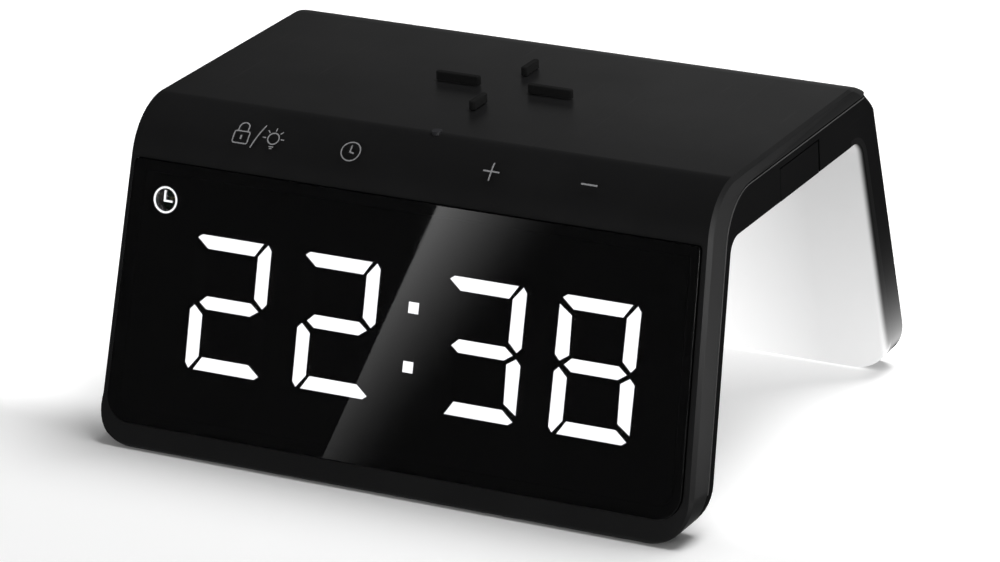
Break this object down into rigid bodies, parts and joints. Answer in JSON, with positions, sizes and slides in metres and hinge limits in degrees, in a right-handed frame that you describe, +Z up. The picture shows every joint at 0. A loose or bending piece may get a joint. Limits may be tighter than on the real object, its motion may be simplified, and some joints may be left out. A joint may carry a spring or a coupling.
{
  "type": "digital alarm clock",
  "caption": "Arch-shaped digital alarm clock with a lit display on its leaning front leg, a charging top with grip strips, an opal night light and a drawer for its backup cell.",
  "frame": {"origin": "middle of the base, on the surface that the rubber feet stand on", "axes": "+Z up, -Y towards the reader of the display, +X to the reader's right, where the battery drawer is"},
  "size_m": [0.1722, 0.1386, 0.089],
  "materials": {
    "upper_shell": "satin black moulding",
    "lower_shell": "fine-grained black moulding",
    "display_lens": "polished smoked acrylic",
    "lens_tape": "foam tape",
    "white_moulding": "white reflector plastic",
    "lit_segment": "lit white cast resin",
    "dark_segment": "unlit cast resin",
    "circuit_board": "solder mask",
    "led_package": "clear resin",
    "touch_film": "amber film",
    "copper": "lacquered copper",
    "indicator": "smoked light guide",
    "grip_rubber": "matt",
    "ferrite": "matt",
    "chip": "moulded resin",
    "capacitor_can": "satin",
    "inlet_plastic": "moulded",
    "sounder_plastic": "moulded",
    "opal_panel": "opal, lit from behind",
    "drawer_plastic": "fine-grained black moulding",
    "cell_steel": "nickel-plated",
    "contact_spring": "plated spring steel",
    "foot_rubber": "matt",
    "screw_steel": "zinc-plated"
  },
  "bodies": {
    "housing": {"upper_shell": "upper_shell", "lower_shell": "lower_shell", "display_lens": "display_lens", "lens_tape": "lens_tape", "segment_housing": "white_moulding", "lit_segments": "lit_segment", "unlit_segments": "dark_segment", "display_board": "circuit_board", "display_leds": "led_package", "touch_film": "touch_film", "touch_pads": "copper", "charge_indicator": "indicator", "wide_grip_strips": "grip_rubber", "deep_grip_strips": "grip_rubber", "charging_coil": "copper", "coil_ferrite": "ferrite", "main_board": "circuit_board", "main_board_chips": "chip", "main_board_capacitors": "capacitor_can", "power_inlet": "inlet_plastic", "alarm_sounder": "sounder_plastic", "night_light_panel": "opal_panel", "night_light_board": "white_moulding", "night_light_lamps": "led_package", "cell_contacts": "contact_spring", "front_feet": "foot_rubber", "rear_feet": "foot_rubber", "cover_screws": "screw_steel", "slab_screws": "screw_steel", "board_screws": "screw_steel"},
    "drawer": {"battery_drawer": "drawer_plastic", "coin_cell": "cell_steel"}
  },
  "joints": [
    {"name": "battery_drawer_slide", "type": "slide", "parent": "housing", "child": "drawer", "axis": [1, 0, 0], "range_m": [0, 0.024]}
  ]
}
